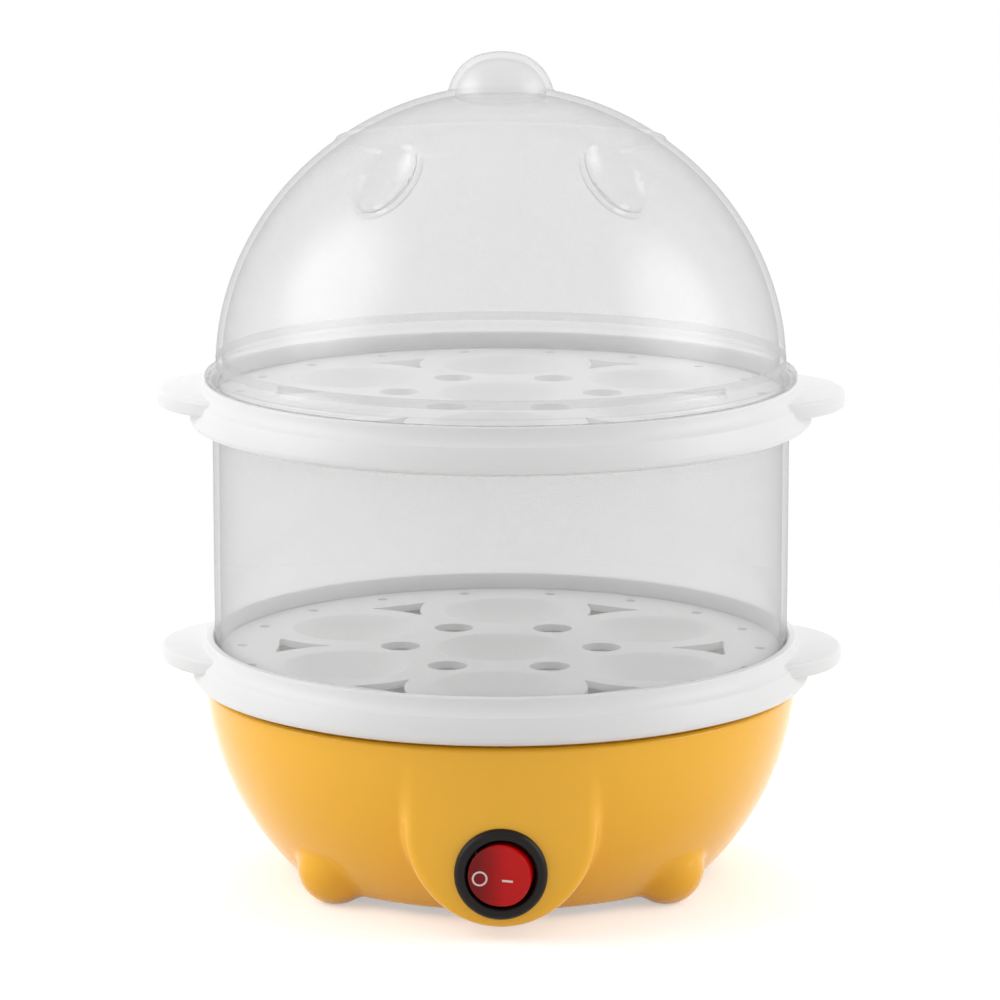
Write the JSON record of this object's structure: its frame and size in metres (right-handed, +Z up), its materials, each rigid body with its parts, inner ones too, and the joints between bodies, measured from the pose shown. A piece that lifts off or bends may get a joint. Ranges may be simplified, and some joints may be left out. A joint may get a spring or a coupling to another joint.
{
  "type": "egg boiler",
  "caption": "Electric egg boiler: a round heated base with a rocker switch, stacked egg trays, a clear ring between them and a clear domed lid with a knob.",
  "frame": {"origin": "centre of the bowl's axis on the floor plane", "axes": "+Z up along the stack, +X to the right, the switch faces -Y"},
  "size_m": [0.178, 0.161, 0.2143],
  "materials": {
    "yellow_plastic": "moulded polypropylene, glossy",
    "white_plastic": "moulded polypropylene, satin gloss",
    "clear_plastic": "clear moulded plastic, slightly milky",
    "cover_plastic": "moulded polypropylene, fine texture",
    "stainless": "drawn stainless sheet, satin",
    "zinc_steel": "zinc plated",
    "silicone": "moulded silicone, matt",
    "aluminium": "plain sheet and tube",
    "sealing_ceramic": "potted bead, matt",
    "brass": "stamped",
    "phenolic": "moulded phenolic",
    "glass_sleeving": "woven glass sleeve",
    "switch_black": "moulded nylon, satin",
    "rocker_red": "translucent red, polished",
    "nylon_white": "moulded nylon",
    "lead_brown": "silicone insulated lead",
    "lead_white": "silicone insulated lead",
    "lead_blue": "silicone insulated lead"
  },
  "bodies": {
    "base": {"base_housing": "yellow_plastic", "deck_ring": "yellow_plastic", "bottom_cover": "cover_plastic", "cover_screws": "zinc_steel", "heating_plate": "stainless", "plate_gasket": "silicone", "heat_spreader": "aluminium", "heating_element": "aluminium", "element_seals": "sealing_ceramic", "element_pins": "zinc_steel", "plate_studs": "zinc_steel", "clamp_bar": "zinc_steel", "clamp_washers": "zinc_steel", "clamp_nuts": "zinc_steel", "thermostat_cap": "aluminium", "thermostat_case": "phenolic", "thermostat_blades": "brass", "thermal_fuse": "glass_sleeving", "fuse_clip": "zinc_steel", "switch_body": "switch_black", "switch_tabs": "brass", "cord_gland": "switch_black", "gland_nut": "switch_black", "connector_block": "nylon_white", "block_inserts": "brass", "block_screws": "zinc_steel", "push_on_terminals": "brass", "wire_live": "lead_brown", "wire_switched": "lead_brown", "wire_to_fuse": "lead_white", "wire_from_fuse": "lead_white", "wire_neutral": "lead_blue"},
    "lower_tier": {"lower_tray": "white_plastic"},
    "ring": {"clear_ring": "clear_plastic"},
    "upper_tier": {"upper_tray": "white_plastic"},
    "lid": {"dome_lid": "clear_plastic", "lid_knob": "clear_plastic"},
    "rocker": {"switch_rocker": "rocker_red", "rocker_plunger": "nylon_white"},
    "seesaw": {"switch_seesaw": "brass"}
  },
  "joints": [
    {"name": "lower_tray_lift", "type": "slide", "parent": "base", "child": "lower_tier", "axis": [0, 0, 1], "range_m": [0, 0.06]},
    {"name": "ring_lift", "type": "slide", "parent": "lower_tier", "child": "ring", "axis": [0, 0, 1], "range_m": [0, 0.08]},
    {"name": "upper_tray_lift", "type": "slide", "parent": "ring", "child": "upper_tier", "axis": [0, 0, 1], "range_m": [0, 0.06]},
    {"name": "lid_lift", "type": "slide", "parent": "upper_tier", "child": "lid", "axis": [0, 0, 1], "range_m": [0, 0.12]},
    {"name": "rocker_hinge", "type": "hinge", "parent": "base", "child": "rocker", "pos_m": [0, -0.0757, 0.0176], "axis": [0, 0, 1], "range_deg": [0, 20]},
    {"name": "seesaw_hinge", "type": "hinge", "parent": "base", "child": "seesaw", "pos_m": [0, -0.0643, 0.0176], "axis": [0, 0, 1], "range_deg": [-12, 0]}
  ],
  "couplings": [
    {"joint": "seesaw_hinge", "follows": "rocker_hinge", "ratio": -0.6}
  ]
}
